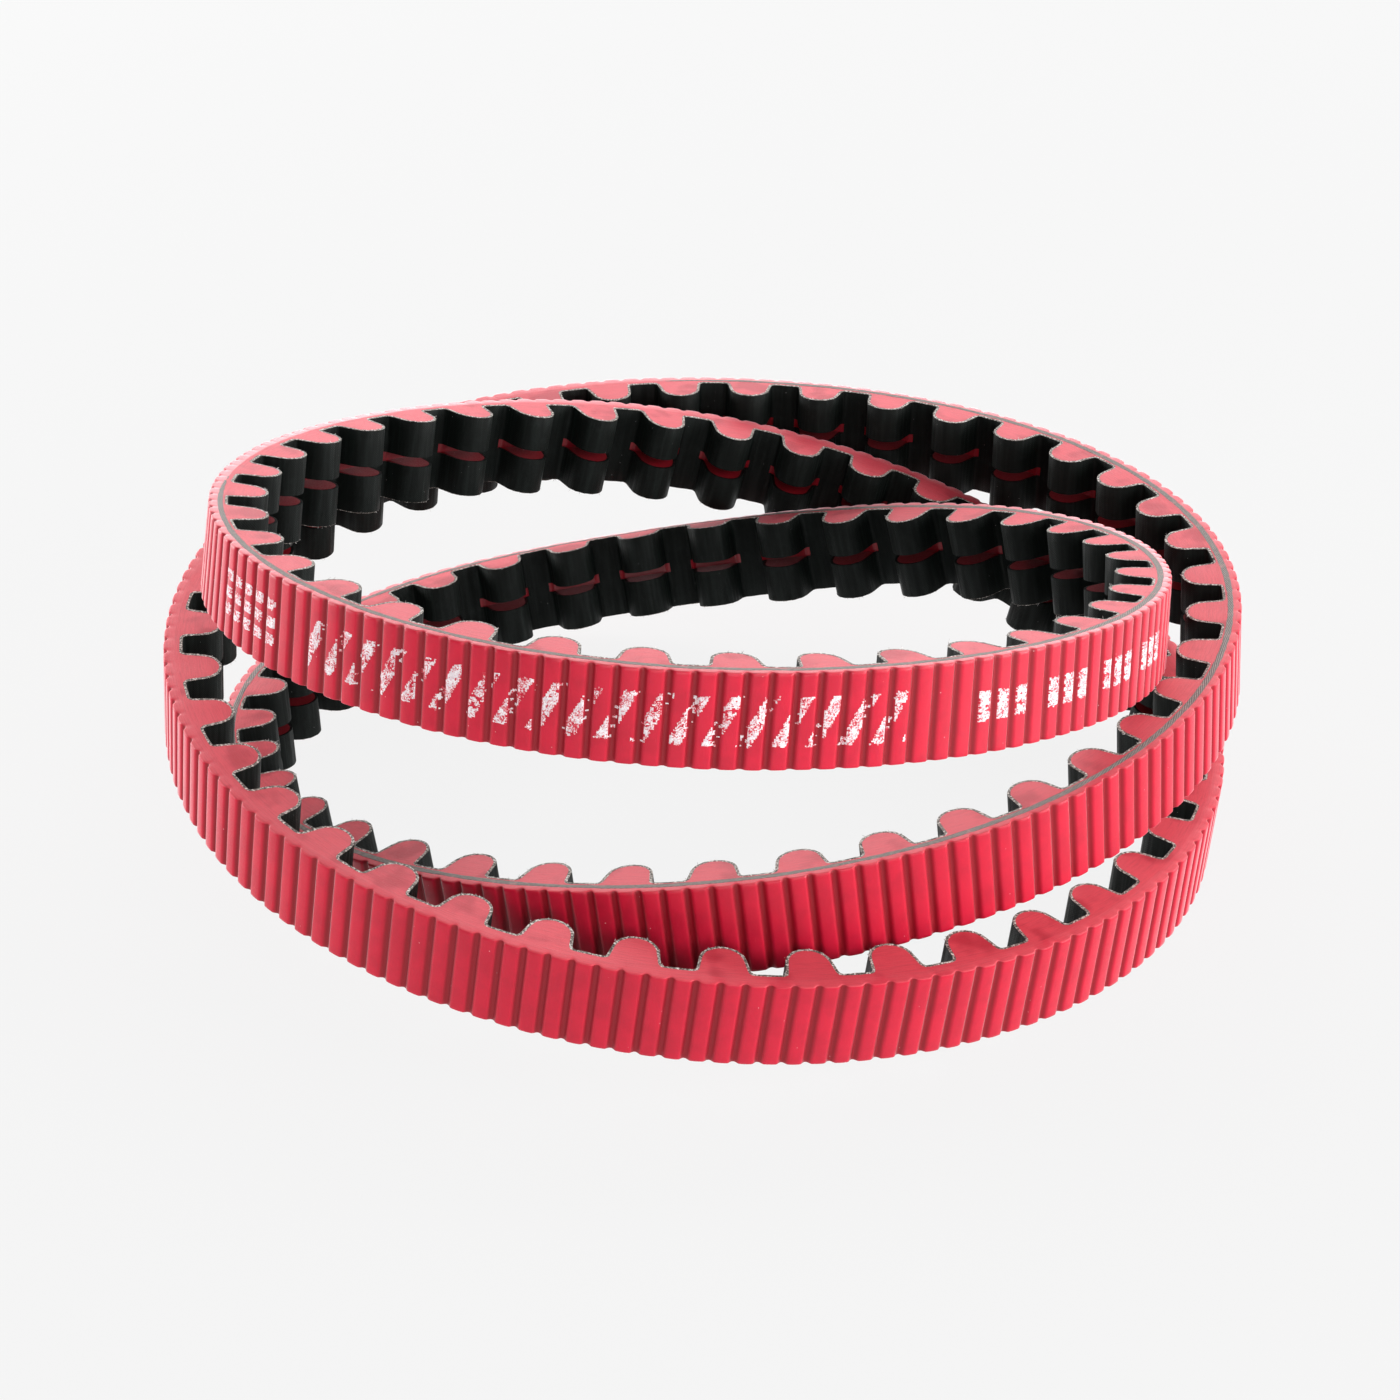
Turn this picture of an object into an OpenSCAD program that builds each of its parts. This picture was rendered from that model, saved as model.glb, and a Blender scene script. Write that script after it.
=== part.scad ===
/* [Belt] */
// Number of teeth around the belt
teeth = 113; // [111:1:120]
// Distance from one tooth to the next along the cords
pitch = 11; // [11:0.1:12]
// Width of the belt
belt_w = 12; // [10:0.5:12]

/* [Teeth] */
// Height of a tooth above the land, with its facing
tooth_h = 5; // [4:0.25:5]
// Width of a tooth at the land, with its facing
tooth_root_w = 7; // [6:0.25:7]
// Radius of a tooth's round crown, with its facing
crown_r = 2.95; // [2.5:0.05:3.2]
// Width of the centre slot through every tooth
slot_w = 1.4; // [1:0.1:3]
// Thickness of the fabric facing
facing_t = 0.45; // [0.3:0.05:0.6]

/* [Back] */
// Number of ribs around the back, not in step with the teeth
rib_count = 424; // [390:1:450]
// Distance from the pitch line out to the crest of a rib
back_t = 1.5; // [1.3:0.1:1.5]
// Depth of the groove between two ribs
groove_d = 0.5; // [0.2:0.05:0.6]
// Width of the groove between two ribs
groove_w = 0.75; // [0.4:0.05:1]

/* [Cords] */
// Number of cord pairs side by side across the belt
cord_pairs = 5; // [5]
// Thickness of the cord layer, centred on the pitch line
cord_t = 1.1; // [0.8:0.1:1.2]

/* [Print] */
// Thickness of the printed ink
ink_t = 0.1; // [0.05:0.05:0.2]
// First rib that carries the print
print_from = 4; // [0:1:20]
// Number of ribs that the print spans
print_ribs = 52; // [12:1:60]

/* [Hidden] */
$fn = 32;

// The free belt lies coiled in three turns. These stations, seven to a turn, give its
// pitch line's distance from the coil's axis and its height, counter-clockwise from the left.
turns = 3;
coil_radius = [62.5, 68.5, 66.5, 61.5, 57.5, 53.5, 61.5,
               64.5, 60.0, 61.5, 67.0, 73.5, 71.5, 68.5,
               70.5, 72.5, 70.5, 69.0, 66.0, 62.5, 58.5];
coil_height = [45.0, 51.5, 48.0, 37.0, 24.5, 13.0, 6.0,
               7.0, 12.0, 18.5, 22.5, 25.0, 26.5, 29.0,
               26.0, 18.0, 9.0, 6.0, 10.0, 22.0, 34.0];
stations = len(coil_radius);
// Where tooth 0 stands along the pitch line, from the coil's left end
tooth_start = 21.5;
// Where rib 0 has its middle, along the pitch line from the middle of tooth 0
rib_start = 2.3;

// Layers, as distances inward from the pitch line
groove_c = groove_d - back_t;
cord_in = cord_t / 2;
land_c = cord_in + facing_t;
tip_c = land_c + tooth_h;
crown_c = tip_c - crown_r;
core_r = crown_r - facing_t;
core_root_w = tooth_root_w - 2 * facing_t;
// Hairline that keeps the facing's stretches apart
hair = 0.05;
// Bare strip on either side of a crest's ink
ink_gap = 0.2;

rib_pitch = teeth * pitch / rib_count;
crest_half = (rib_pitch - groove_w) / 2;
// The belt is straight under a tooth, this far to each side of its middle, and bends at the land
stiff_half = tooth_root_w / 2 + 0.25;

// Smooth closed curve through the stations, by the turning angle a in degrees
function pull(x) = abs(sin(x / 2)) < 1e-9 ? 1 : sin(stations * x / 2) / (stations * sin(x / 2));
function pulls(a) = [for (i = [0:stations - 1]) pull(a / turns - 360 * i / stations)];
function raw_point(a) =
    let (p = pulls(a), r = coil_radius * p)
    [-r * cos(a), -r * sin(a), coil_height * p];

// Length along the curve, degree by degree, and the scale that gives the belt its true length
raw_points = [for (a = [0:360 * turns]) raw_point(a)];
raw_length = [for (i = 0, s = 0; i <= 360 * turns;
                   i = i + 1, s = s + (i > 360 * turns ? 0 : norm(raw_points[i] - raw_points[i - 1])))
              s];
true_scale = teeth * pitch / raw_length[360 * turns];
angle_by_length = [for (i = [0:360 * turns]) [raw_length[i] * true_scale, i]];

// Frame of the belt at a length s: place, direction along it, inward, and across its width
function belt_frame(s) =
    let (a = lookup(s % (teeth * pitch), angle_by_length),
         here = raw_point(a), to = here - raw_point(a - 1), from = raw_point(a + 1) - here,
         along = unit(to + from), across = unit(cross(to, from)))
    [here * true_scale, along, cross(across, along), across];
function unit(v) = v / norm(v);

tooth_frames = [for (k = [0:teeth - 1]) belt_frame(k * pitch + tooth_start)];

// Frame beside tooth k, u along the belt from the tooth's middle, at most up to the next tooth
function spot(k, u) =
    let (f = tooth_frames[k % teeth])
    u <= stiff_half
        ? [f[0] + f[1] * u, f[1], f[2], f[3]]
        : let (g = tooth_frames[(k + 1) % teeth],
               t = (u - stiff_half) / (pitch - 2 * stiff_half),
               p = f[0] + f[1] * stiff_half, q = g[0] - g[1] * stiff_half)
          [p + (q - p) * t, unit(f[1] * (1 - t) + g[1] * t),
           unit(f[2] * (1 - t) + g[2] * t), unit(f[3] * (1 - t) + g[3] * t)];
function place(f, c, b) = f[0] + f[2] * c + f[3] * b;
// The same at a length s from the middle of tooth 0
function spot_at(s) = let (k = floor((s + stiff_half) / pitch)) spot(k, s - k * pitch);

// The coil stands on its lowest edge, with its middle over the origin
edge_points = [for (k = [0:teeth - 1], u = [-stiff_half, stiff_half], c = [-back_t, tip_c],
                    b = [-belt_w / 2, belt_w / 2])
               place(spot(k, u), c, b)];
function middle(i) = (max([for (p = edge_points) p[i]]) + min([for (p = edge_points) p[i]])) / 2;
stand = [-middle(0), -middle(1), -min([for (p = edge_points) p[2]])];

// Closed band with four corners: from c0 to c1 inward, and from b0 to b1 across
module band(c0, c1, b0, b1) {
    rings = [for (k = [0:teeth - 1], u = [-stiff_half, stiff_half]) spot(k, u)];
    n = len(rings);
    polyhedron(
        [for (f = rings) each [place(f, c0, b0), place(f, c0, b1), place(f, c1, b1), place(f, c1, b0)]],
        [for (i = [0:n - 1], j = [0:3]) each band_side(4 * i, 4 * ((i + 1) % n), j)]);
}
// One side of a band between two rings. The cut runs the same way on faces that touch.
function band_side(p, q, j) =
    let (m = (j + 1) % 4)
    j < 2 ? [[p + j, p + m, q + m], [p + j, q + m, q + j]]
          : [[p + j, p + m, q + j], [p + m, q + m, q + j]];

// Where the outline of the back turns: three points to a rib outside, two to a tooth inside,
// each by its length from the middle of tooth 0
rib_turns = [[-crest_half, -back_t], [crest_half, -back_t], [rib_pitch / 2, groove_c]];
function outer_s(i) = rib_start + floor(i / 3) * rib_pitch + rib_turns[i % 3][0];
function inner_s(j) = floor(j / 2) * pitch + (j % 2 == 0 ? -stiff_half : stiff_half);
// The last outside turn up to s, and the last inside turn before s
function outer_up_to(s) =
    let (r = floor((s - rib_start + crest_half) / rib_pitch), u = s - rib_start - r * rib_pitch)
    3 * r + (u < crest_half ? 0 : u < rib_pitch / 2 ? 1 : 2);
function inner_before(s) =
    let (k = ceil((s + stiff_half) / pitch) - 1)
    2 * k + (s - k * pitch > stiff_half ? 1 : 0);

module ribbed_back() {
    sides = [-belt_w / 2, belt_w / 2];
    outer_n = 3 * rib_count;
    inner_n = 2 * teeth;
    function outer(i, side) = 2 * (i % outer_n) + side;
    function inner(j, side) = 2 * outer_n + 2 * (j % inner_n) + side;
    function flip(f, side) = side == 0 ? f : [f[2], f[1], f[0]];
    points = concat(
        [for (i = [0:outer_n - 1], b = sides) place(spot_at(outer_s(i)), rib_turns[i % 3][1], b)],
        [for (j = [0:inner_n - 1], b = sides) place(spot_at(inner_s(j)), -cord_in, b)]);
    outside = [for (i = [0:outer_n - 1]) each [
        [outer(i, 0), outer(i, 1), outer(i + 1, 1)],
        [outer(i, 0), outer(i + 1, 1), outer(i + 1, 0)]]];
    inside = [for (j = [0:inner_n - 1]) each [
        [inner(j, 1), inner(j, 0), inner(j + 1, 1)],
        [inner(j, 0), inner(j + 1, 0), inner(j + 1, 1)]]];
    // The edges of the belt: each stretch reaches over to the turn that comes just before its end
    edges = [for (side = [0, 1]) each concat(
        [for (i = [0:outer_n - 1])
            flip([outer(i, side), outer(i + 1, side), inner(inner_before(outer_s(i + 1)), side)], side)],
        [for (j = [0:inner_n - 1])
            flip([inner(j, side), outer(outer_up_to(inner_s(j + 1)), side), inner(j + 1, side)], side)])];
    color("crimson") polyhedron(points, concat(outside, inside, edges));
}

// One S-twisted and one Z-twisted carbon cord, side by side
module cord_pair(i) {
    pair_w = belt_w / cord_pairs;
    low = -belt_w / 2 + (i - 1) * pair_w;
    color("dimgray") band(-cord_in, cord_in, low, low + pair_w);
}
module cord_pair_1() cord_pair(1);
module cord_pair_2() cord_pair(2);
module cord_pair_3() cord_pair(3);
module cord_pair_4() cord_pair(4);
module cord_pair_5() cord_pair(5);

// Puts its children beside tooth k: x along the belt, y inward, z across
module beside(k, u = 0) {
    f = spot(k, u);
    multmatrix([for (i = [0:2]) [f[1][i], f[2][i], f[3][i], f[0][i]]]) children();
}

// Outline of a tooth: straight flanks from its foot up to a half-round crown
module tooth_section(root_w, r, foot_c) {
    translate([0, crown_c]) intersection() {
        circle(r);
        translate([-r, 0]) square([2 * r, r]);
    }
    polygon([[-root_w / 2, foot_c], [root_w / 2, foot_c], [r, crown_c], [-r, crown_c]]);
}

module teeth_body() {
    color("firebrick")
        for (k = [0:teeth - 1]) beside(k) difference() {
            translate([0, 0, -belt_w / 2]) linear_extrude(belt_w)
                tooth_section(core_root_w, core_r, cord_in);
            translate([-pitch / 2, land_c, -slot_w / 2]) cube([pitch, tip_c, slot_w]);
        }
}

module fabric_facing() {
    cap_w = (belt_w - slot_w) / 2;
    color("darkslategray") {
        for (k = [0:teeth - 1]) beside(k) for (low = [-belt_w / 2, slot_w / 2])
            translate([0, 0, low]) linear_extrude(cap_w) difference() {
                union() {
                    tooth_section(tooth_root_w, crown_r, cord_in);
                    translate([-stiff_half, cord_in]) square([2 * stiff_half, facing_t]);
                }
                tooth_section(core_root_w, core_r, cord_in);
            }
        for (k = [0:teeth - 1])
            land_facing(spot(k, stiff_half + hair), spot(k, pitch - stiff_half - hair));
    }
}
module land_facing(f, g) {
    polyhedron(
        [for (e = [f, g]) each [place(e, cord_in, -belt_w / 2), place(e, cord_in, belt_w / 2),
                                place(e, land_c, belt_w / 2), place(e, land_c, -belt_w / 2)]],
        concat([for (j = [0:3]) each band_side(0, 4, j)], [[0, 3, 2], [0, 2, 1], [4, 5, 6], [4, 6, 7]]));
}

// Worn blocks of white ink on the crests, in a repeating order of heights, with bare gaps
module print_mark() {
    block_h = [7, 7, 5.5, 7, 3, 7, 6, 7, 4, 7, 7, 0];
    color("whitesmoke")
        for (r = [print_from:print_from + print_ribs - 1]) let (h = block_h[r % len(block_h)])
            if (h > 0)
                on_crest(r) translate([ink_gap - crest_half, -ink_t, -h / 2])
                    cube([2 * (crest_half - ink_gap), ink_t, h]);
}
// Puts its children on the crest of rib r: x along the belt, y inward, z across
module on_crest(r) {
    f = spot_at(outer_s(3 * r));
    g = spot_at(outer_s(3 * r + 1));
    from = place(f, -back_t, 0);
    to = place(g, -back_t, 0);
    across = unit(f[3] + g[3]);
    inward = unit(cross(across, to - from));
    along = cross(inward, across);
    middle = (from + to) / 2;
    multmatrix([for (i = [0:2]) [along[i], inward[i], across[i], middle[i]]]) children();
}

translate(stand) {
    ribbed_back();
    cord_pair_1();
    cord_pair_2();
    cord_pair_3();
    cord_pair_4();
    cord_pair_5();
    teeth_body();
    fabric_facing();
    print_mark();
}
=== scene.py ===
"""Looks of a toothed timing belt that lies in a loose coil of three turns.

Every surface is placed by three belt coordinates, in millimetres: s along the pitch line,
c inward from it towards the teeth, and b across the width, upwards.
"""
import math

import bpy
import numpy as np
from mathutils import Matrix, Vector


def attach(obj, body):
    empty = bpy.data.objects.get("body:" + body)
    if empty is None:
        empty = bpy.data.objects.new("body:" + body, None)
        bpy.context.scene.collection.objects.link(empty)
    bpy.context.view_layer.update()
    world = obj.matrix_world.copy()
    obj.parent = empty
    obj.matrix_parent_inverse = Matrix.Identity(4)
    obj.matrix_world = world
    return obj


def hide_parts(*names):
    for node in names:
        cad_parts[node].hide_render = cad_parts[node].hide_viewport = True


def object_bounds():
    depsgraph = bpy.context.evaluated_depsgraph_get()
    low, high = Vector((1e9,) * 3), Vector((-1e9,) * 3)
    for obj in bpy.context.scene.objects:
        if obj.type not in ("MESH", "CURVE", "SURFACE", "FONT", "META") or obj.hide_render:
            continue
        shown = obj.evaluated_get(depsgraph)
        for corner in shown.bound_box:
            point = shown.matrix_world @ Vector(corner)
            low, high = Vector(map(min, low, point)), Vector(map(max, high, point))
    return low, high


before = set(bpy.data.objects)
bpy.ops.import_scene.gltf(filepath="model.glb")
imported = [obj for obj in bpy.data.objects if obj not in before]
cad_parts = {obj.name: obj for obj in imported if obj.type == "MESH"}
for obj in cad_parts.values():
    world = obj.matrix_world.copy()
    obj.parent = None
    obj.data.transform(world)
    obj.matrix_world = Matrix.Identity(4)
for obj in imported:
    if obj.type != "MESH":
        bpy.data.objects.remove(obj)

cad_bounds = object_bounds()

MM = 0.001
BODY = "root"

# Belt, in millimetres
TEETH = 113
PITCH = 11.0
LENGTH = TEETH * PITCH
HALF_W = 6.0
RIBS = 424
RIB_PITCH = LENGTH / RIBS
CREST_C = -1.5
GROOVE_C = -1.0
LAND_C = 1.0
CROWN_C = 3.05
CROWN_R = 2.95
ROOT_HALF = 3.5
ROOT_C = 0.55
FILLET_R = 0.6
SLOT_HALF = 0.7
SLOT_C = 0.95
SLOT_TAPER = 0.08
CLOTH_T = 0.38
# Curvature of the coil on average, which would narrow the teeth towards their crowns
MEAN_BEND = 1 / 65

# Coil: seven stations to a turn, as distance from the axis and height
TURNS = 3
COIL_RADIUS = np.array([62.5, 68.5, 66.5, 61.5, 57.5, 53.5, 61.5,
                        64.5, 60.0, 61.5, 67.0, 73.5, 71.5, 68.5,
                        70.5, 72.5, 70.5, 69.0, 66.0, 62.5, 58.5])
COIL_HEIGHT = np.array([45.0, 51.5, 48.0, 37.0, 24.5, 13.0, 6.0,
                        7.0, 12.0, 18.5, 22.5, 25.0, 26.5, 29.0,
                        26.0, 18.0, 9.0, 6.0, 10.0, 22.0, 34.0])
STATIONS = len(COIL_RADIUS)
TOOTH_START = 21.5
RIB_START = TOOTH_START + 2.3

# The outermost cord wanders out to the top edge and shows there between these lengths
EXPOSED = (-12.0, 690.0)
EXPOSED_FADE = 45
EXPOSED_SHIFT = 0.42
# Lengths past this one count as negative, up to the seam at 0
EXPOSED_WRAP = LENGTH / 2 + 200


# ---------------------------------------------------------------- the path of the belt

def pull(x):
    """A station's share in the curve at angle x from it, which makes one smooth closed curve."""
    half = np.sin(x / 2)
    near = np.abs(half) < 1e-9
    return np.where(near, 1.0, np.sin(STATIONS * x / 2) / (STATIONS * np.where(near, 1.0, half)))


def turn_rate(values):
    """Change from step to step of rows of values that close on themselves."""
    return (np.roll(values, -1, 0) - np.roll(values, 1, 0)) / 2


def unit(v):
    return v / np.linalg.norm(v, axis=-1, keepdims=True)


def closed(v):
    """The rows with the first one repeated at the end."""
    return np.concatenate([v, v[:1]])


class Path:
    """Smooth closed pitch line with its inward and across directions, looked up by length."""

    def __init__(self, steps=8640):
        a = np.arange(steps) * TURNS * 2 * np.pi / steps
        station = np.arange(STATIONS) * 2 * np.pi / STATIONS
        share = pull(a[:, None] / TURNS - station)
        radius = share @ COIL_RADIUS
        height = share @ COIL_HEIGHT
        here = np.stack([-radius * np.cos(a), -radius * np.sin(a), height], 1)
        step = turn_rate(here)
        along = unit(step)
        across = unit(np.cross(step, turn_rate(step)))
        inward = np.cross(across, along)
        chord = np.linalg.norm(np.roll(here, -1, 0) - here, axis=1)
        scale = LENGTH / chord.sum()
        self.length = np.concatenate([[0.0], np.cumsum(chord)]) * scale
        self.here = closed(here * scale)
        self.inward = closed(inward)
        self.across = closed(across)
        self.shift = np.zeros(3)

    def look_up(self, table, s):
        return np.stack([np.interp(s, self.length, table[:, i]) for i in range(3)], -1)

    def at(self, s, c, b):
        """Points in millimetres for arrays of belt coordinates."""
        s, c, b = np.broadcast_arrays(s, c, b)
        s = np.mod(s, LENGTH)
        place = self.look_up(self.here, s) + self.shift
        return (place + self.look_up(self.inward, s) * c[..., None]
                + self.look_up(self.across, s) * b[..., None])

    def stand_in(self, low, high):
        """Moves the path so that the belt's own box sits in the given one, in millimetres."""
        s = np.arange(0, LENGTH, 1.0)
        corners = [(c, b) for c in (CREST_C, LAND_C) for b in (-HALF_W, HALF_W)]
        skin = np.concatenate([self.at(s, c, b) for c, b in corners])
        middle = (skin.min(0) + skin.max(0)) / 2
        self.shift = (low + high) / 2 - middle
        self.shift[2] = low[2] - skin[:, 2].min()


path = Path()
path.stand_in(np.array(cad_bounds[0]) * 1000, np.array(cad_bounds[1]) * 1000)


def ramp(x, low, high):
    """Smooth step from 0 at low to 1 at high."""
    t = np.clip((x - low) / (high - low), 0, 1)
    return t * t * (3 - 2 * t)


def edge_half(s):
    """Half the belt's width: the knife that slit the belt wandered by a few hundredths."""
    turn = 2 * np.pi * s / LENGTH
    return HALF_W - 0.03 + 0.016 * np.sin(71 * turn) + 0.014 * np.sin(187 * turn + 1.3)


# ---------------------------------------------------------------- mesh helpers

def loop_quads(rows, cols, first=0, close_rows=True, close_cols=True):
    """Quads over a grid of vertices, rows by cols, that closes on itself where asked."""
    i = np.arange(rows if close_rows else rows - 1)[:, None]
    j = np.arange(cols if close_cols else cols - 1)[None, :]
    i2 = (i + 1) % rows
    j2 = (j + 1) % cols
    quads = np.stack([i * cols + j, i * cols + j2, i2 * cols + j2, i2 * cols + j], -1)
    return quads.reshape(-1, 4) + first


class Soup:
    """Collects vertices by belt coordinates, and quads over them, for one piece."""

    def __init__(self):
        self.coords = []
        self.quads = []
        self.count = 0

    def add(self, s, c, b, quads, cloth=None):
        s, c, b = np.broadcast_arrays(s, c, b)
        cloth = s if cloth is None else np.broadcast_to(cloth, s.shape)
        self.coords.append(np.stack([s, c, b, cloth], -1).reshape(-1, 4))
        self.quads.append(quads + self.count)
        self.count += s.size

    def sweep(self, s, c, b, cloth=None, close_rows=True, flip=False):
        """A closed section, one row of c and b for each row of s, carried along the belt."""
        s, c, b = np.broadcast_arrays(s, c, b)
        quads = loop_quads(s.shape[0], s.shape[1], close_rows=close_rows)
        if not close_rows:
            last = (s.shape[0] - 1) * s.shape[1]
            quads = np.concatenate([quads, cap_quads(s.shape[1])[:, ::-1], cap_quads(s.shape[1]) + last])
        if flip:
            quads = quads[:, ::-1]
        self.add(s, c, b, quads, cloth)

    def piece(self, name, material, slot, replaces=(), sharp=40):
        coords = np.concatenate(self.coords)
        quads = np.concatenate(self.quads)
        points = path.at(coords[:, 0], coords[:, 1], coords[:, 2]) * MM
        return make_piece(name, points, quads, coords, material, replaces, sharp)


def cap_quads(cols):
    """Quads that close a section of an even number of corners, numbered around it."""
    half = cols // 2
    return np.array([[j, j + 1, cols - 2 - j, cols - 1 - j] for j in range(half - 1)])


def make_piece(name, points, quads, coords, material, replaces, sharp=40):
    mesh = bpy.data.meshes.new(name)
    mesh.vertices.add(len(points))
    mesh.vertices.foreach_set("co", points.astype(np.float32).ravel())
    mesh.loops.add(quads.size)
    mesh.loops.foreach_set("vertex_index", quads.astype(np.int32).ravel())
    mesh.polygons.add(len(quads))
    mesh.polygons.foreach_set("loop_start", np.arange(0, quads.size, 4, dtype=np.int32))
    mesh.update(calc_edges=True)
    mesh.validate()
    belt = mesh.attributes.new("belt", "FLOAT_VECTOR", "POINT")
    belt.data.foreach_set("vector", coords[:, :3].astype(np.float32).ravel())
    cloth = mesh.attributes.new("cloth", "FLOAT", "POINT")
    cloth.data.foreach_set("value", coords[:, 3].astype(np.float32))
    mesh.shade_smooth()
    mesh.set_sharp_from_angle(angle=math.radians(sharp))
    mesh.materials.append(material)
    piece = bpy.data.objects.new(name, mesh)
    bpy.context.scene.collection.objects.link(piece)
    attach(piece, BODY)
    if replaces:
        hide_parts(*replaces)
    return piece


# ---------------------------------------------------------------- shader helpers

class Shader:
    """A node material with one Principled shader, and short calls for the nodes it uses."""

    def __init__(self, name):
        self.material = bpy.data.materials.new(name)
        self.material.use_nodes = True
        self.tree = self.material.node_tree
        self.skin = self.tree.nodes["Principled BSDF"]
        belt = self.node("ShaderNodeAttribute", attribute_name="belt")
        axes = self.node("ShaderNodeSeparateXYZ")
        self.link(belt.outputs["Vector"], axes.inputs[0])
        self.belt = belt.outputs["Vector"]
        self.s, self.c, self.b = axes.outputs
        self.side = self.math("ABSOLUTE", self.b)

    def node(self, kind, **settings):
        made = self.tree.nodes.new(kind)
        for key, value in settings.items():
            setattr(made, key, value)
        return made

    def link(self, source, target):
        if isinstance(source, bpy.types.NodeSocket):
            self.tree.links.new(source, target)
        else:
            target.default_value = source

    def math(self, operation, *values, clamp=False):
        made = self.node("ShaderNodeMath", operation=operation, use_clamp=clamp)
        for value, socket in zip(values, made.inputs):
            self.link(value, socket)
        return made.outputs[0]

    def ramp(self, value, low, high, to_low=0.0, to_high=1.0):
        made = self.node("ShaderNodeMapRange", interpolation_type="SMOOTHSTEP")
        for given, socket in zip((value, low, high, to_low, to_high), made.inputs):
            self.link(given, socket)
        return made.outputs[0]

    def stretch(self, vector, x, y, z):
        made = self.node("ShaderNodeVectorMath", operation="MULTIPLY")
        self.link(vector, made.inputs[0])
        made.inputs[1].default_value = (x, y, z)
        return made.outputs[0]

    def noise(self, vector, scale, detail=3.0, roughness=0.55):
        made = self.node("ShaderNodeTexNoise")
        self.link(vector, made.inputs["Vector"])
        made.inputs["Scale"].default_value = scale
        made.inputs["Detail"].default_value = detail
        made.inputs["Roughness"].default_value = roughness
        return made.outputs["Fac"]

    def specks(self, vector, scale, size):
        """Small round spots, one in some of the cells of a jittered grid."""
        made = self.node("ShaderNodeTexVoronoi")
        self.link(vector, made.inputs["Vector"])
        made.inputs["Scale"].default_value = scale
        spot = self.ramp(made.outputs["Distance"], size, size * 0.6)
        chosen = self.math("GREATER_THAN", self.split(made.outputs["Color"]), 0.8)
        return self.math("MULTIPLY", spot, chosen)

    def split(self, colour):
        made = self.node("ShaderNodeSeparateColor")
        self.link(colour, made.inputs[0])
        return made.outputs[0]

    def mix(self, factor, low, high):
        made = self.node("ShaderNodeMix", data_type="RGBA")
        self.link(factor, made.inputs[0])
        for value, socket in ((low, made.inputs[6]), (high, made.inputs[7])):
            self.link(value if isinstance(value, bpy.types.NodeSocket) else (*value, 1.0), socket)
        return made.outputs[2]

    def bump(self, height, depth, under=None):
        made = self.node("ShaderNodeBump")
        made.inputs["Strength"].default_value = 1.0
        made.inputs["Distance"].default_value = depth * MM
        self.link(height, made.inputs["Height"])
        if under is not None:
            self.link(under, made.inputs["Normal"])
        return made.outputs["Normal"]

    def finish(self, colour, roughness, normal, **constant):
        self.link(colour, self.skin.inputs["Base Color"])
        self.link(roughness, self.skin.inputs["Roughness"])
        self.link(normal, self.skin.inputs["Normal"])
        for name, value in constant.items():
            self.skin.inputs[name.replace("_", " ")].default_value = value
        return self.material


def polyurethane(name, moulded, hollow_shade, cut, bloom):
    """Cast red polyurethane: moulded faces, painted shade in the ribs' hollows and the slot, and paler,
    sawn edges.

    The bloom is the dusty veil that pales the surface where it is seen at a low angle.
    """
    m = Shader(name)
    cloud = m.noise(m.belt, 0.35, 4)
    grain = m.noise(m.belt, 5.0, 3)
    face = m.mix(m.ramp(cloud, 0.35, 0.7), moulded, tuple(x * 0.86 for x in moulded))
    # Painted shade: the groove bottoms between the ribs are coloured darker.
    hollow_shade_mask = m.ramp(m.c, -1.46, -1.1)
    face = m.mix(hollow_shade_mask, face, hollow_shade)
    # Painted shade: inside the slot through the teeth the red is coloured darker still.
    slot_shade_mask = m.math("MULTIPLY", m.ramp(m.side, 0.78, 0.68), m.ramp(m.c, 0.5, 0.9))
    face = m.mix(slot_shade_mask, face, tuple(x * 0.6 for x in hollow_shade))
    scratch = m.noise(m.stretch(m.belt, 3.0, 3.0, 0.35), 2.2, 3)
    face = m.mix(m.ramp(scratch, 0.62, 0.8, 0.0, 0.25), face, cut)
    dust = m.specks(m.belt, 0.9, 0.07)
    face = m.mix(m.math("MULTIPLY", dust, 0.6), face, (0.85, 0.6, 0.6))
    saw = m.noise(m.stretch(m.belt, 0.25, 5.0, 1.0), 1.6, 4, 0.65)
    sawn = m.mix(m.ramp(saw, 0.4, 0.75), cut, tuple(x * 0.8 for x in cut))
    shiny = m.noise(m.belt, 0.16, 2)
    sawn = m.mix(m.ramp(shiny, 0.5, 0.68, 0.0, 0.6), sawn, moulded)
    on_edge = m.ramp(m.side, 5.84, 5.92)
    colour = m.mix(on_edge, face, sawn)
    rough = m.math("ADD", m.ramp(grain, 0.3, 0.7, 0.34, 0.5), m.math("MULTIPLY", on_edge, 0.14))
    fine = m.bump(grain, 0.012)
    marks = m.bump(m.math("MULTIPLY", saw, on_edge), 0.03, fine)
    return m.finish(colour, rough, marks, Subsurface_Weight=0.1, Subsurface_Scale=0.001,
                    Subsurface_Radius=(1.0, 0.15, 0.12), IOR=1.45, Specular_IOR_Level=0.45,
                    Sheen_Weight=bloom, Sheen_Roughness=0.28, Sheen_Tint=(1.0, 0.8, 0.83, 1.0))


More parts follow.
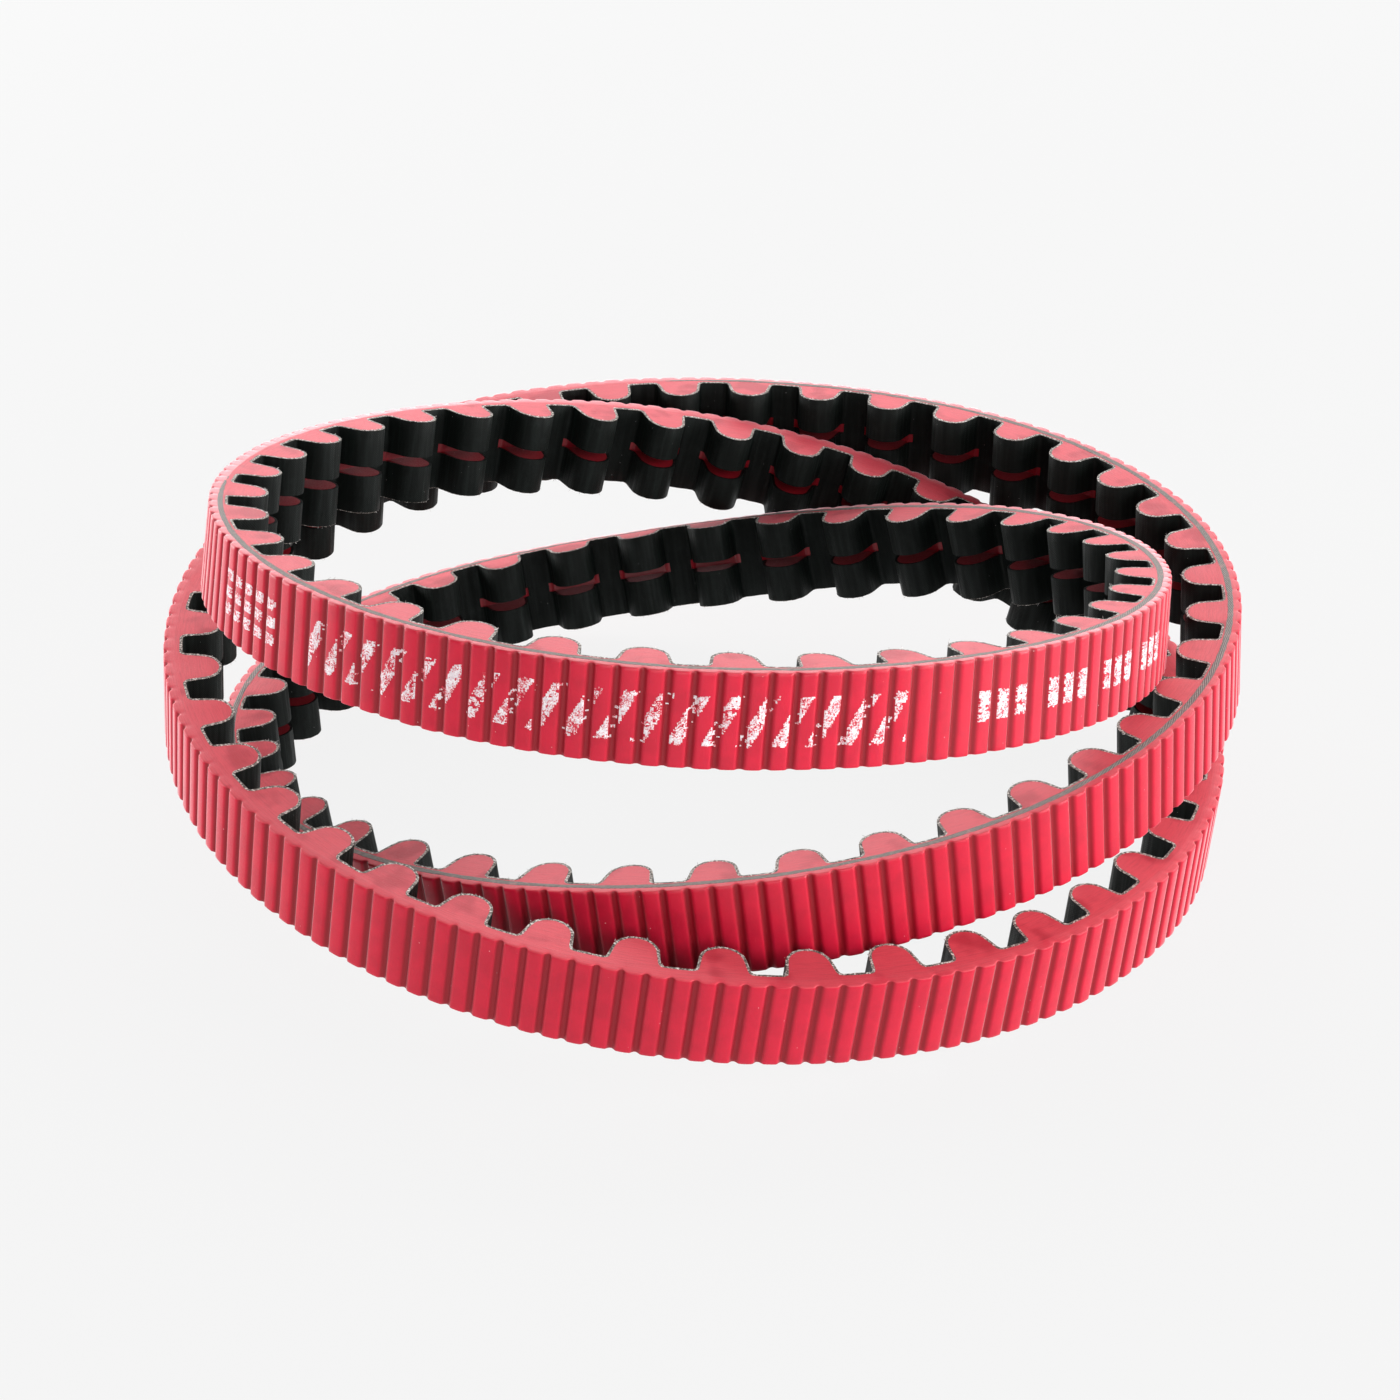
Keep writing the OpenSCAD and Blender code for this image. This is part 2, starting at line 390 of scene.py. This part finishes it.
def nylon_facing():
    """Tight black cloth with a green cast, vertical soft streaks of painted highlight that are also
    glossier, and a pale frayed cut edge.
    """
    m = Shader("nylon_facing")
    cloth = m.node("ShaderNodeAttribute", attribute_name="cloth").outputs["Fac"]
    flat = m.node("ShaderNodeCombineXYZ")
    m.link(cloth, flat.inputs[0])
    m.link(m.b, flat.inputs[1])
    on_cloth = flat.outputs[0]
    thread = 0.34
    warp = m.math("SINE", m.math("MULTIPLY", cloth, 2 * math.pi / thread))
    weft = m.math("SINE", m.math("MULTIPLY", m.b, 2 * math.pi / thread))
    weave = m.math("MULTIPLY", warp, weft)
    highlight_streak = m.noise(m.stretch(on_cloth, 1.0, 0.07, 1.0), 1.3, 4, 0.6)
    patch = m.noise(on_cloth, 0.5, 3)
    # Painted highlight: the black cloth is coloured lighter along soft vertical streaks; the same
    # streaks also make it glossier and wavier.
    black = m.mix(m.ramp(highlight_streak, 0.42, 0.72), (0.0016, 0.0028, 0.0022), (0.005, 0.0075, 0.0065))
    black = m.mix(m.ramp(patch, 0.55, 0.8, 0.0, 0.5), black, (0.008, 0.011, 0.01))
    dust = m.specks(on_cloth, 1.1, 0.06)
    black = m.mix(m.math("MULTIPLY", dust, 0.5), black, (0.55, 0.55, 0.55))
    fibre = m.noise(m.belt, 3.2, 3, 0.7)
    cut = m.mix(m.ramp(fibre, 0.36, 0.5), (0.04, 0.032, 0.03), (0.2, 0.17, 0.15))
    cut = m.mix(m.ramp(fibre, 0.52, 0.6), cut, (0.72, 0.67, 0.63))
    on_cut = m.ramp(m.side, 5.9, 5.95)
    colour = m.mix(on_cut, black, cut)
    rough = m.ramp(highlight_streak, 0.35, 0.7, 0.66, 0.36)
    threads = m.bump(weave, 0.02)
    waves = m.bump(highlight_streak, 0.12, threads)
    return m.finish(colour, rough, waves, Sheen_Weight=0.01, Sheen_Roughness=0.4,
                    Sheen_Tint=(0.75, 0.9, 0.85, 1.0), IOR=1.45, Specular_IOR_Level=0.14)


def carbon_cord():
    """Grey-brown twisted fibre, its filaments slanting around the cord, cut flat where exposed."""
    m = Shader("carbon_cord")
    twist = m.node("ShaderNodeAttribute", attribute_name="cloth").outputs["Fac"]
    strand = m.math("SINE", m.math("MULTIPLY", twist, 9.0))
    fibre = m.noise(m.stretch(m.belt, 1.2, 6.0, 6.0), 1.4, 4, 0.65)
    blend = m.math("ADD", m.math("MULTIPLY", strand, 0.15), fibre)
    colour = m.mix(m.ramp(blend, 0.3, 0.75), (0.09, 0.075, 0.068), (0.28, 0.24, 0.22))
    glue = m.ramp(m.noise(m.belt, 0.5, 3), 0.56, 0.72, 0.0, 0.45)
    colour = m.mix(glue, colour, (0.55, 0.2, 0.2))
    normal = m.bump(m.math("ADD", strand, fibre), 0.02)
    return m.finish(colour, m.ramp(fibre, 0.3, 0.7, 0.5, 0.7), normal, IOR=1.5)


def white_ink(red):
    """Thin white ink, rubbed through to the red in specks."""
    m = Shader("white_ink")
    rub = m.noise(m.belt, 4.5, 4, 0.7)
    wide = m.noise(m.belt, 0.7, 2)
    worn = m.ramp(m.math("ADD", rub, m.math("MULTIPLY", wide, 0.5)), 0.7, 0.86)
    tint = m.noise(m.belt, 1.8, 3)
    white = m.mix(m.ramp(tint, 0.35, 0.7), (0.82, 0.78, 0.8), (0.66, 0.56, 0.6))
    colour = m.mix(worn, white, red)
    return m.finish(colour, m.ramp(rub, 0.3, 0.7, 0.5, 0.68), m.bump(rub, 0.02), IOR=1.45)


def fray_fibre():
    """Loose nylon, from grey to nearly white."""
    m = Shader("fray_fibre")
    tone = m.noise(m.belt, 2.5, 3)
    colour = m.mix(m.ramp(tone, 0.4, 0.65), (0.3, 0.28, 0.27), (0.8, 0.77, 0.76))
    return m.finish(colour, m.ramp(tone, 0.3, 0.7, 0.6, 0.8), m.bump(tone, 0.01),
                    Sheen_Weight=0.3, IOR=1.45)


# ---------------------------------------------------------------- the ribbed back

def rib_height(t):
    """How far outside the groove's bottom the back reaches, t from the rib's middle: 0 to 1."""
    from_groove = RIB_PITCH / 2 - np.abs(t)
    shoulder = ramp(from_groove, 0.05, 0.74)
    crown = 1 - 0.3 * (t / (RIB_PITCH / 2)) ** 2
    return shoulder * crown


def back_c(s):
    """Outer surface of the back, as a distance inward from the pitch line."""
    t = np.mod(s - RIB_START + RIB_PITCH / 2, RIB_PITCH) - RIB_PITCH / 2
    return GROOVE_C + (CREST_C - GROOVE_C) * rib_height(t)


def rib_steps(count_flat=4):
    """Steps along one rib, close together over the groove and its shoulders."""
    groove = np.array([0.0, 0.1, 0.2, 0.31, 0.42, 0.53, 0.66])
    flat = np.linspace(0.85, RIB_PITCH - 0.85, count_flat)
    return np.concatenate([groove, flat, RIB_PITCH - groove[:0:-1]]) - RIB_PITCH / 2


def build_back(material):
    """The ribbed half of the casting, from the cords outwards."""
    step = rib_steps()
    s = (RIB_START + np.arange(RIBS)[:, None] * RIB_PITCH + step[None, :]).reshape(-1, 1)
    top = back_c(s)
    half = edge_half(s)
    # From the hidden inner face at the top edge, over the edge, across the ribs and back
    corner = ((0.0, 0.0), (0.82, 0.0), (0.95, 0.045), (1.0, 0.14), (1.0, 0.5))
    inner_share = np.array([share for share, _ in corner])
    inset = np.array([gap for _, gap in corner])
    c = np.concatenate([top * inner_share, top, top * inner_share[::-1]], 1)
    b = np.concatenate([half - inset, np.zeros_like(s), -(half - inset[::-1])], 1)
    soup = Soup()
    soup.sweep(s, c, b)
    return soup.piece("ribbed_back_cast", material, "red_polyurethane", ["ribbed_back"], sharp=50)


# ---------------------------------------------------------------- the toothed side

# The flank is the tangent from the root's corner to the crown's circle
ROOT_DEPTH = CROWN_C - ROOT_C
FLANK = math.acos(CROWN_R / math.hypot(ROOT_HALF, ROOT_DEPTH)) - math.atan2(ROOT_DEPTH, ROOT_HALF)
FILLET_C = LAND_C + FILLET_R
FILLET_X = (CROWN_R + FILLET_R - (FILLET_C - CROWN_C) * math.sin(FLANK)) / math.cos(FLANK)


def tooth_outline(depth):
    """Half a land, fillet, flank, crown and back down again, depth under the cloth's face.

    Points as [x, c], x from the tooth's middle. Every depth has the same number of points.
    """
    land = [(x, LAND_C - depth) for x in np.linspace(-PITCH / 2, -FILLET_X, 4)[:-1]]
    turn = np.linspace(-math.pi / 2, -FLANK, 6)
    fillet_r = FILLET_R + depth
    fillet = [(-FILLET_X + fillet_r * math.cos(t), FILLET_C + fillet_r * math.sin(t)) for t in turn]
    over = np.linspace(math.pi - FLANK, math.pi / 2, 10)
    crown_r = CROWN_R - depth
    crown = [(crown_r * math.cos(t), CROWN_C + crown_r * math.sin(t)) for t in over]
    left = np.array(land + fillet + crown)
    right = left[-2:0:-1] * [-1, 1]
    return np.concatenate([left, right])


def tooth_rows(depth):
    """Columns for the outline on every tooth: s, c, length along the cloth, and s without the lean.

    The lean widens each tooth along the pitch line by what the bend takes off again.
    """
    outline = tooth_outline(depth)
    x, c = outline[:, 0], outline[:, 1]
    lean = 1 + MEAN_BEND * np.maximum(0, c - LAND_C)
    tooth = np.arange(TEETH)[:, None] * PITCH + TOOTH_START
    s = (tooth + (x * lean)[None, :]).reshape(-1, 1)
    face = tooth_outline(0)
    run = np.concatenate([[0], np.cumsum(np.linalg.norm(np.diff(face, axis=0), axis=1))])
    whole = run[-1] + np.linalg.norm(face[0] + [PITCH, 0] - face[-1])
    cloth = (np.arange(TEETH)[:, None] * whole + run[None, :]).reshape(-1, 1)
    plain_s = (tooth + x[None, :]).reshape(-1, 1)
    return s, np.tile(c, TEETH).reshape(-1, 1), cloth, plain_s


def build_teeth(material):
    """The toothed half of the casting, with the slot along its middle."""
    s, c, _, plain_s = tooth_rows(CLOTH_T)
    half = edge_half(s)
    none = np.zeros_like(s)
    slot = SLOT_HALF + none
    # Over the cut end, across the crown and down into the slot: depth, height and lean
    columns = [(c * 0, half, 0), (c * 0.5, half, 0.5), (c, half, 1), (c, half * 0.55, 1),
               (c, slot, 1), (np.minimum(c, SLOT_C), slot - SLOT_TAPER, 1)]
    cs = [depth for depth, _, _ in columns]
    bs = [b for _, b, _ in columns]
    ss = [plain_s + (s - plain_s) * lean for _, _, lean in columns]
    cs += cs[::-1]
    ss += ss[::-1]
    bs += [-b for b in bs[::-1]]
    soup = Soup()
    soup.sweep(np.concatenate(ss, 1), np.concatenate(cs, 1), np.concatenate(bs, 1), flip=True)
    return soup.piece("teeth_cast", material, "tooth_polyurethane", ["teeth_body"], sharp=42)


# The cloth sinks this far into the casting, and its edges are rounded off by these drops
CLOTH_SINK = 0.02
EDGE_DROP = np.array([0.05, 0.0, 0.0, 0.0, 0.03])
# Between the facing's halves, each land has a filler that laps a little under both of them
FILLER_LAP = 0.06
FILLER_DROP = 0.012


def build_facing(material):
    """One cloth over teeth and lands, open only where the slot passes through a tooth."""
    s, c, cloth, _ = tooth_rows(0)
    s_in, c_in, _, _ = tooth_rows(CLOTH_T + CLOTH_SINK)
    ripple = 0.03 * np.sin(cloth * 9.1) + 0.02 * np.sin(cloth * 23.7 + 0.6)
    outer = edge_half(s) + ripple * 0.6
    inner = SLOT_HALF + 0 * s
    b_top = np.concatenate([outer, outer - 0.07, outer * 0.6, inner + 0.3, inner], 1)
    b_all = np.concatenate([b_top, b_top[:, ::-1]], 1)
    c_all = np.concatenate([c - EDGE_DROP, c_in + 0 * EDGE_DROP], 1)
    s_all = np.concatenate([s + 0 * EDGE_DROP, s_in + 0 * EDGE_DROP], 1)
    soup = Soup()
    for up in (1, -1):
        soup.sweep(s_all, c_all, b_all * up, cloth, flip=up > 0)
    for rows in land_rows():
        fill_land(soup, s[rows], c[rows], c_in[rows], cloth[rows])
    return soup.piece("facing_cloth", material, "nylon_facing", ["fabric_facing"], sharp=42)


def land_rows():
    """Row numbers of each land, from the end of one tooth to the start of the next."""
    outline = tooth_outline(0)
    per_tooth = len(outline)
    lands = np.nonzero(outline[:, 1] < LAND_C + 0.02)[0]
    right = lands[lands > per_tooth // 2]
    left = lands[lands < per_tooth // 2]
    return [np.concatenate([right + k * per_tooth, left + ((k + 1) % TEETH) * per_tooth])
            for k in range(TEETH)]


def fill_land(soup, s, c, c_in, cloth):
    """A thin bar of cloth across the gap between the two halves, closed at both ends."""
    s = np.where(s < s[0] - PITCH, s + LENGTH, s)
    b = np.array([[1.0, -1.0, -1.0, 1.0]]) * (SLOT_HALF + FILLER_LAP) + 0 * s
    lift = np.array([[0.0, 0.0, 1.0, 1.0]])
    c_box = c - FILLER_DROP + (c_in - c + 2 * FILLER_DROP) * lift
    soup.sweep(s + 0 * lift, c_box, b, cloth, close_rows=False, flip=True)


FRAYS_PER_TOOTH = 24
# Each fibre is a four-sided tube: how far along it the rings stand, and how thick they are
FRAY_RINGS = np.array([0.0, 0.35, 0.7, 1.0])
FRAY_TAPER = np.array([1.0, 0.9, 0.7, 0.3])
FRAY_SIDES = 4


def build_frays(material, seed=7):
    """Short loose fibres along the cut edges of the cloth, most of them on the crowns."""
    rng = np.random.default_rng(seed)
    outline = tooth_outline(0.1)
    x, c = outline[:, 0], outline[:, 1]
    share = 0.25 + ramp(c, 1.5, 5.5)
    share = share / share.sum()
    count = FRAYS_PER_TOOTH * TEETH
    pick = rng.choice(len(x), count, p=share)
    tooth = rng.integers(0, TEETH, count)
    lean = 1 + MEAN_BEND * np.maximum(0, c[pick] - LAND_C)
    s0 = tooth * PITCH + TOOTH_START + x[pick] * lean + rng.normal(0, 0.12, count)
    c0 = c[pick] + rng.uniform(-0.12, 0.0, count)
    up = rng.choice([-1.0, 1.0], count)
    b0 = up * (edge_half(s0) - 0.05)
    reach = rng.uniform(0.1, 0.34, count)
    away = np.stack([rng.normal(0, 0.8, count), 0.35 + rng.normal(0, 0.5, count),
                     up * rng.uniform(0.1, 0.9, count)], 1)
    away = unit(away)
    bend = rng.normal(0, 0.35, (count, 3))
    thick = rng.uniform(0.025, 0.055, count)
    straight = (reach[:, None] * FRAY_RINGS)[..., None]
    curled = (reach[:, None] * FRAY_RINGS ** 2)[..., None]
    start = np.stack([s0, c0, b0], 1)
    line = start[:, None, :] + away[:, None, :] * straight + bend[:, None, :] * curled
    side = unit(np.cross(away, rng.normal(0, 1, (count, 3))))
    other = np.cross(away, side)
    around = np.arange(FRAY_SIDES) * 2 * np.pi / FRAY_SIDES
    ring = (np.cos(around)[None, None, :, None] * side[:, None, None, :]
            + np.sin(around)[None, None, :, None] * other[:, None, None, :])
    points = line[:, :, None, :] + ring * (thick[:, None] * FRAY_TAPER)[:, :, None, None]
    flat = points.reshape(-1, 3)
    soup = Soup()
    soup.add(flat[:, 0], flat[:, 1], flat[:, 2], fray_quads(count))
    return soup.piece("facing_frays", material, "nylon_facing", sharp=60)


def fray_quads(count):
    """Sides and end caps of every fibre's tube."""
    rings = len(FRAY_RINGS)
    cap = cap_quads(FRAY_SIDES)
    quads = loop_quads(rings, FRAY_SIDES, close_rows=False)
    quads = np.concatenate([quads, cap[:, ::-1], cap + FRAY_SIDES * (rings - 1)])
    first = np.arange(count) * rings * FRAY_SIDES
    return (quads[None] + first[:, None, None]).reshape(-1, 4)


# ---------------------------------------------------------------- the cords

PAIRS = 5
CORD_R = 0.47
TWIST_PITCH = 7.0
STRANDS = 3


def outward(s):
    """How far the outermost cord has wandered towards the top edge, where it is cut flat."""
    start, end = EXPOSED
    out = np.where(s > EXPOSED_WRAP, s - LENGTH, s)
    shown = ramp(out, start, start + EXPOSED_FADE) * ramp(out, end + EXPOSED_FADE, end)
    turn = 2 * np.pi * s / LENGTH
    wander = 0.03 * np.sin(turn * 31) + 0.02 * np.sin(turn * 83)
    return shown * (EXPOSED_SHIFT + wander)


def build_cord_pair(i, material):
    """Two cords side by side, one S-twisted and one Z-twisted, each a twisted three-strand yarn.

    The top pair has finer rings, because its outer cord shows.
    """
    soup = Soup()
    top_pair = i == PAIRS
    rings, sides = (2486, 16) if top_pair else (1243, 10)
    s = np.arange(rings)[:, None] * LENGTH / rings
    around = np.arange(sides)[None, :] * 2 * np.pi / sides
    for j, hand in ((0, 1), (1, -1)):
        lane = -HALF_W + (2 * (i - 1) + j + 0.5) * HALF_W / PAIRS
        turns = round(LENGTH / TWIST_PITCH)
        twist = hand * 2 * np.pi * turns * s / LENGTH
        radius = CORD_R * (0.95 + 0.05 * np.cos(STRANDS * (around - twist)))
        c = radius * np.cos(around)
        b = lane + radius * np.sin(around)
        if top_pair and j == 1:
            b = np.minimum(b + outward(s), edge_half(s) + 0.025)
        soup.sweep(s, c, b, cloth=(around - twist) + 0 * s)
    name = f"cord_pair_{i}"
    return soup.piece(f"twisted_{name}", material, "carbon_cord", [name], sharp=60)


# ---------------------------------------------------------------- the print

PRINT_RIBS = 52
PRINT_FROM = RIB_START + 3.5 * RIB_PITCH
PRINT_HALF = 3.4
INK_T = 0.035
INK_SINK = 0.01
INK_CELL = 0.17
CELLS_PER_RIB = 16
# The three groups of the print, by ribs or lengths from its left end, and by height
SQUARE_RIBS = 5
SQUARE_PITCH = 2.2
SQUARE_HALF = 0.7
CREST_HALF = 0.85
BARS_FROM, BARS_TO = 21, 96
BAR_PITCH = 4.0
BAR_W = 1.7
BAR_SLANT = 0.5
BAR_HALF_H = 3.1
BLOCKS_FROM = 36
BLOCK_HALF_H = 1.8


def print_pattern(x, b):
    """Three rows of squares, slanted bars, then a row of blocks, x from the print's left end.

    The squares and the blocks sit one on each rib's crest, every fourth block left out.
    """
    rib = np.floor(x / RIB_PITCH)
    on_crest = np.abs(x - (rib + 0.5) * RIB_PITCH) < CREST_HALF
    from_row = np.mod(b + SQUARE_PITCH / 2, SQUARE_PITCH) - SQUARE_PITCH / 2
    in_rows = (np.abs(from_row) < SQUARE_HALF) & (np.abs(b) < 1.5 * SQUARE_PITCH)
    squares = on_crest & in_rows & (rib >= 0) & (rib < SQUARE_RIBS)
    on_bar = np.mod(x - BARS_FROM - b * BAR_SLANT, BAR_PITCH) < BAR_W
    bars = on_bar & (x > BARS_FROM) & (x < BARS_TO) & (np.abs(b) < BAR_HALF_H)
    in_blocks = (rib >= BLOCKS_FROM) & (rib < PRINT_RIBS) & (np.mod(rib, 4) < 3)
    blocks = on_crest & in_blocks & (np.abs(b) < BLOCK_HALF_H)
    return squares | bars | blocks


def lumpy(x, b, shift, size):
    """Smooth uneven field from a few slanted waves, about -1 to 1."""
    total = 0
    for n in range(6):
        angle = 2.4 * n + shift
        wave = (x * math.cos(angle) + b * math.sin(angle)) / size * (1 + 0.37 * n)
        total = total + np.sin(wave + 5.1 * n + shift)
    return total / 3


def join_corners(shown):
    """Fills a third cell wherever two cells touch only at a corner."""
    here, beside = shown[:-1, :-1], shown[:-1, 1:]
    after, across = shown[1:, :-1], shown[1:, 1:]
    joined = shown.copy()
    joined[1:, :-1] |= here & across & ~beside & ~after
    joined[:-1, :-1] |= beside & after & ~here & ~across
    return joined


def printed_cells(s, b):
    """Which cells carry ink, from the places of their middles: the pattern less what has worn off."""
    jitter_s = 0.06 * lumpy(s, b, 1.7, 0.2)
    jitter_b = 0.06 * lumpy(s, b, 3.9, 0.2)
    shown = print_pattern(s - PRINT_FROM + jitter_s, b + jitter_b)
    groove = back_c(s) > CREST_C + 0.2
    worn = lumpy(s, b, 2.2, 0.27) + 0.6 * lumpy(s, b, 0.9, 1.6)
    shown &= worn < np.where(groove, -0.75, 0.9)
    for _ in range(4):
        shown = join_corners(shown)
    return shown


def cell_quads(shown, rows, cols):
    """Top and bottom of every inked cell, and a wall wherever the next cell is bare."""
    i, j = np.nonzero(shown)
    low = np.stack([i * cols + j, i * cols + j + 1, (i + 1) * cols + j + 1, (i + 1) * cols + j], 1)
    high = low + rows * cols
    quads = [high[:, ::-1], low]
    padded = np.pad(shown, 1)
    sides = ((0, 1, -1, 0), (1, 2, 0, 1), (2, 3, 1, 0), (3, 0, 0, -1))
    for p, q, di, dj in sides:
        open_side = ~padded[1 + i + di, 1 + j + dj]
        wall = np.stack([low[:, q], low[:, p], high[:, p], high[:, q]], 1)
        quads.append(wall[open_side])
    return np.concatenate(quads)


def build_print(material):
    """A skin of ink cells on the crests, with ragged holes where it has worn off."""
    step = np.linspace(-RIB_PITCH / 2, RIB_PITCH / 2, CELLS_PER_RIB + 1)[:-1]
    first = PRINT_FROM + RIB_PITCH / 2
    s = (first + np.arange(PRINT_RIBS)[:, None] * RIB_PITCH + step[None, :]).reshape(-1)
    b = np.arange(-PRINT_HALF, PRINT_HALF + 0.01, INK_CELL)
    grid_s, grid_b = np.meshgrid(s, b, indexing="ij")
    middle_s = (grid_s[:-1, :-1] + grid_s[1:, 1:]) / 2
    middle_b = (grid_b[:-1, :-1] + grid_b[1:, 1:]) / 2
    quads = cell_quads(printed_cells(middle_s, middle_b), len(s), len(b))
    used, quads = np.unique(quads, return_inverse=True)
    quads = quads.reshape(-1, 4)
    uneven_b = grid_b + 0.055 * lumpy(grid_s, grid_b, 0.4, 0.35)
    surface = back_c(grid_s).ravel()
    flat_s = np.tile(grid_s.ravel(), 2)[used]
    flat_b = np.tile(uneven_b.ravel(), 2)[used]
    flat_c = np.concatenate([surface + INK_SINK, surface - INK_T])[used]
    soup = Soup()
    soup.add(flat_s, flat_c, flat_b, quads)
    return soup.piece("print_ink", material, "white_ink", ["print_mark"], sharp=50)


# ---------------------------------------------------------------- floor, light and camera

def build_floor(half=3.0):
    """A pale floor that glows a little, so that it reads as white paper with hardly a shadow."""
    corners = [(-half, -half, 0), (half, -half, 0), (half, half, 0), (-half, half, 0)]
    mesh = bpy.data.meshes.new("floor")
    mesh.from_pydata(corners, [], [(0, 1, 2, 3)])
    floor = bpy.data.objects.new("floor", mesh)
    bpy.context.scene.collection.objects.link(floor)
    material = bpy.data.materials.new("pale_floor")
    material.use_nodes = True
    skin = material.node_tree.nodes["Principled BSDF"]
    skin.inputs["Base Color"].default_value = (0.04, 0.04, 0.04, 1)
    skin.inputs["Roughness"].default_value = 0.9
    skin.inputs["Specular IOR Level"].default_value = 0.0
    skin.inputs["Emission Color"].default_value = (1, 1, 1, 1)
    skin.inputs["Emission Strength"].default_value = 0.865
    mesh.materials.append(material)
    return floor


def soft_box(name, place, size, power, aim):
    """A rectangular area light, place and size in metres and power in watts."""
    light = bpy.data.lights.new(name, "AREA")
    light.shape = "RECTANGLE"
    light.size, light.size_y = size
    light.energy = power
    lamp = bpy.data.objects.new(name, light)
    lamp.location = place
    lamp.rotation_euler = (Vector(aim) - Vector(place)).to_track_quat("-Z", "Y").to_euler()
    bpy.context.scene.collection.objects.link(lamp)
    return lamp


def light_studio():
    """Soft boxes behind, at both sides and in front. The low ones pale the coil's two ends."""
    world = bpy.data.worlds.new("studio")
    world.use_nodes = True
    sky = world.node_tree.nodes["Background"]
    sky.inputs["Color"].default_value = (1, 1, 1, 1)
    sky.inputs["Strength"].default_value = 0.2
    bpy.context.scene.world = world
    middle = (0, 0, 0.03)
    soft_box("back_box", (0.05, 0.75, 0.45), (1.3, 0.5), 9, middle)
    soft_box("left_box", (-0.62, 0.3, 0.14), (0.9, 0.25), 8, middle)
    soft_box("right_box", (0.64, -0.22, 0.2), (0.4, 0.5), 5, middle)
    soft_box("right_rim_box", (0.66, 0.2, 0.12), (0.7, 0.25), 3, middle)
    soft_box("front_box", (0.1, -0.8, 0.3), (0.8, 0.3), 3.8, middle)


CAMERA_AIM = Vector((-1.097, 0.405, 16.299)) * MM
CAMERA_DISTANCE = 486.2 * MM
CAMERA_ELEVATION = math.radians(28.05)
CAMERA_ROLL = math.radians(-0.59)


def place_camera():
    """Looks slightly down at the front of the coil from about half a metre."""
    elevation = CAMERA_ELEVATION
    back = Vector((0, -math.cos(elevation), math.sin(elevation)))
    up = Vector((0, math.sin(elevation), math.cos(elevation)))
    right = Vector((1, 0, 0))
    cos, sin = math.cos(CAMERA_ROLL), math.sin(CAMERA_ROLL)
    x_axis = right * cos + up * sin
    y_axis = up * cos - right * sin
    data = bpy.data.cameras.new("camera")
    data.sensor_width = 36
    data.lens = 91.57
    data.clip_start = 0.01
    camera = bpy.data.objects.new("camera", data)
    place = CAMERA_AIM + back * CAMERA_DISTANCE
    rows = [(x_axis[i], y_axis[i], back[i], place[i]) for i in range(3)]
    camera.matrix_world = Matrix(rows + [(0, 0, 0, 1)])
    bpy.context.scene.collection.objects.link(camera)
    bpy.context.scene.camera = camera


# ---------------------------------------------------------------- the whole scene

# Linear colours of the polyurethane: moulded faces, painted shade for the ribs' hollows and the slots,
# and sawn edges
MOULDED = (0.56, 0.004, 0.03)
HOLLOW_SHADE = (0.28, 0.001, 0.01)
SAWN = (0.64, 0.055, 0.08)

place_camera()
build_floor()
light_studio()
bpy.context.scene.view_settings.view_transform = "Standard"

build_back(polyurethane("red_polyurethane", MOULDED, HOLLOW_SHADE, SAWN, bloom=1.0))
# The teeth's red, taken darker: painted shade for the slots, where this colour mostly shows.
shaded_tooth_red = tuple(x * 0.6 for x in MOULDED)
build_teeth(polyurethane("tooth_polyurethane", shaded_tooth_red, HOLLOW_SHADE, SAWN, bloom=0.15))
build_facing(nylon_facing())
build_frays(fray_fibre())
cord_material = carbon_cord()
for pair in range(1, PAIRS + 1):
    build_cord_pair(pair, cord_material)
build_print(white_ink(MOULDED))
